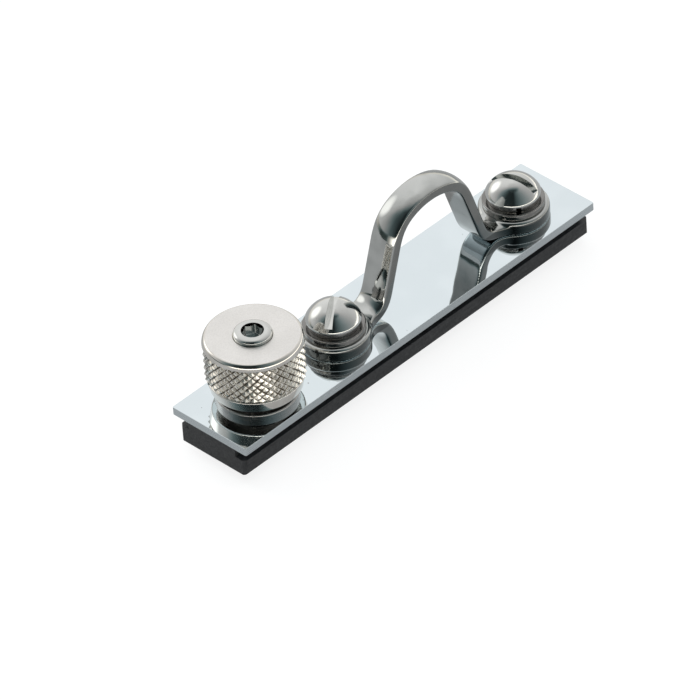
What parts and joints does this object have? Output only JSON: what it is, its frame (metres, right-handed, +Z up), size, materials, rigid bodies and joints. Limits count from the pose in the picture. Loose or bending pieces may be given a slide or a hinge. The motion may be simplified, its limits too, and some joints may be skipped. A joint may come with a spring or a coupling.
{
  "type": "track car",
  "caption": "Slide plate on a T-shaped slider for a slotted track, with a bent lead eye held by slotted screws and a sprung stop plunger under a knurled pull knob.",
  "frame": {"origin": "middle of the car's length and width, at the height of the plunger pin's tip, its lowest point", "axes": "+X along the track from the plunger end to the rear end, +Y across the car, +Z up out of the track"},
  "size_m": [0.11, 0.0222, 0.0372],
  "materials": {
    "mirror_steel": "mirror polished stainless sheet",
    "polished_steel": "polished stainless steel",
    "plain_steel": "turned or milled stainless steel",
    "spring_steel": "drawn stainless spring wire",
    "knob_plating": "bright nickel plating, satin on the top face",
    "black_acetal": "milled black acetal, slightly rough"
  },
  "bodies": {
    "car": {"slide_plate": "mirror_steel", "slider": "black_acetal", "tapped_bar": "plain_steel", "housing_nut": "plain_steel", "lead_eye": "polished_steel", "front_washer": "polished_steel", "rear_washer": "polished_steel", "front_lock_washer": "plain_steel", "rear_lock_washer": "plain_steel", "front_screw": "polished_steel", "rear_screw": "polished_steel", "plunger_housing": "plain_steel", "plunger_spring": "spring_steel"},
    "plunger": {"plunger_pin": "plain_steel"},
    "pull_knob": {"knob": "knob_plating", "knob_screw": "polished_steel"}
  },
  "joints": [
    {"name": "plunger_lift", "type": "slide", "parent": "car", "child": "plunger", "axis": [0, 0, 1], "range_m": [0, 0.005], "stiffness_N_per_m": 1200, "springref_m": -0.007, "deforming": ["plunger_spring"]},
    {"name": "knob_spin", "type": "hinge", "parent": "plunger", "child": "pull_knob", "pos_m": [-0.04, 0, 0.0216], "axis": [0, 0, 1], "continuous": true}
  ]
}
